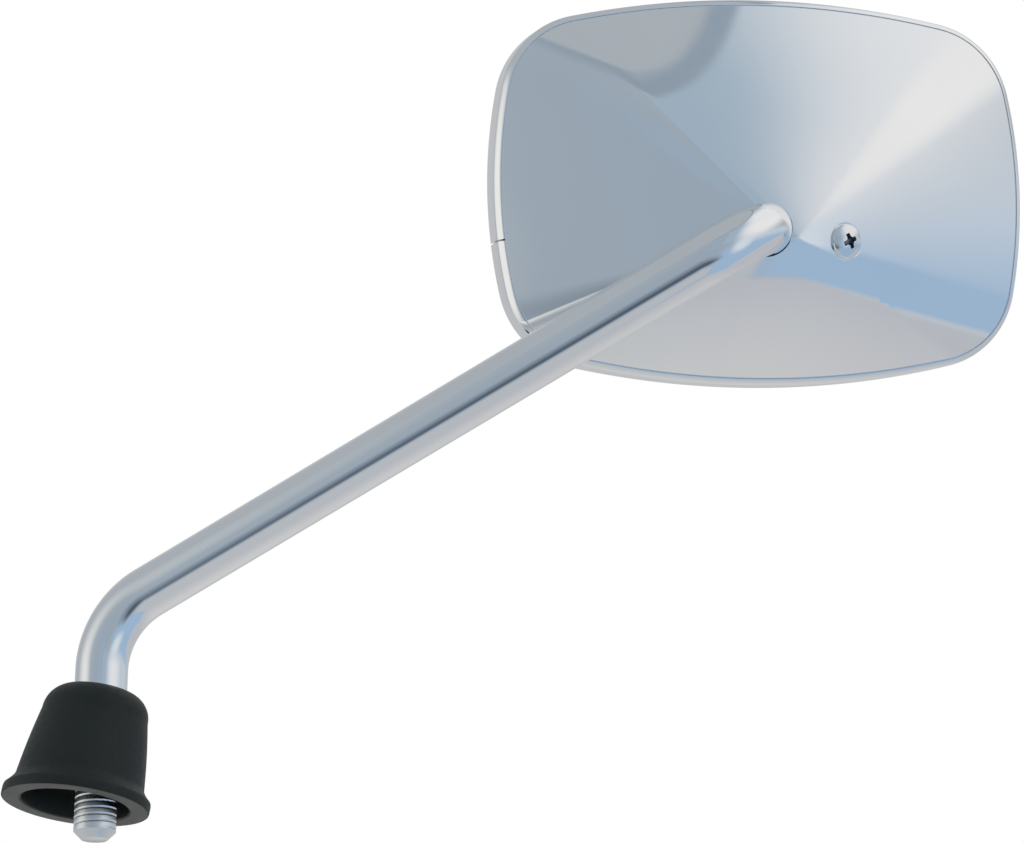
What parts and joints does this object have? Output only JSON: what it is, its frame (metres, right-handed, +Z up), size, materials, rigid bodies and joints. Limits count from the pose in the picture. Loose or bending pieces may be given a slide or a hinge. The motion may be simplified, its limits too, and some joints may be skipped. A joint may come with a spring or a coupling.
{
  "type": "motorcycle mirror",
  "caption": "Chromed scooter mirror: a bent rod with a threaded foot and rubber boot, and a rounded four-sided head that turns on a clamped ball.",
  "frame": {"origin": "on the stud's axis, at the top of its free thread, below the lock nut", "axes": "+Z up the stud, the long rod leans towards +X, and the head's chromed back faces +X and -Y"},
  "size_m": [0.1846, 0.0877, 0.1642],
  "materials": {
    "stem": "polished",
    "lock_nut": "zinc plated",
    "rubber_boot": "matt",
    "ball_seat_rear": "matt",
    "ball_seat_front": "matt",
    "back_shell": "polished",
    "rim_band": "polished",
    "seam_clip": "satin",
    "mirror_glass": "polished",
    "glass_gasket": "matt",
    "backing_pad": "foam",
    "socket_block": "die cast",
    "clamp_plate": "zinc plated",
    "clamp_screw": "polished",
    "clamp_lock_washer": "zinc plated",
    "clamp_nut": "zinc plated"
  },
  "bodies": {
    "stem": {"stem": "stem", "lock_nut": "lock_nut"},
    "boot": {"rubber_boot": "rubber_boot"},
    "seat_rear": {"ball_seat_rear": "ball_seat_rear"},
    "seat_front": {"ball_seat_front": "ball_seat_front"},
    "head": {"back_shell": "back_shell", "rim_band": "rim_band", "seam_clip": "seam_clip", "mirror_glass": "mirror_glass", "glass_gasket": "glass_gasket", "backing_pad": "backing_pad", "socket_block": "socket_block", "clamp_plate": "clamp_plate", "clamp_screw": "clamp_screw", "clamp_lock_washer": "clamp_lock_washer", "clamp_nut": "clamp_nut"}
  },
  "joints": [
    {"name": "head_tilt", "type": "hinge", "parent": "stem", "child": "seat_rear", "pos_m": [0.12766, 0.02006, 0.09917], "axis": [0.8172, 0.5696, 0.0877], "range_deg": [-6, 9]},
    {"name": "head_pan", "type": "hinge", "parent": "seat_rear", "child": "seat_front", "pos_m": [0.12766, 0.02006, 0.09917], "axis": [0.0761, -0.2575, 0.9633], "range_deg": [-9, 6]},
    {"name": "head_roll", "type": "hinge", "parent": "seat_front", "child": "head", "pos_m": [0.12766, 0.02006, 0.09917], "axis": [0.5713, -0.7805, -0.2538], "range_deg": [-8, 8]},
    {"name": "boot_slide", "type": "slide", "parent": "stem", "child": "boot", "axis": [0, 0, 1], "range_m": [-0.0035, 0.0012]}
  ]
}
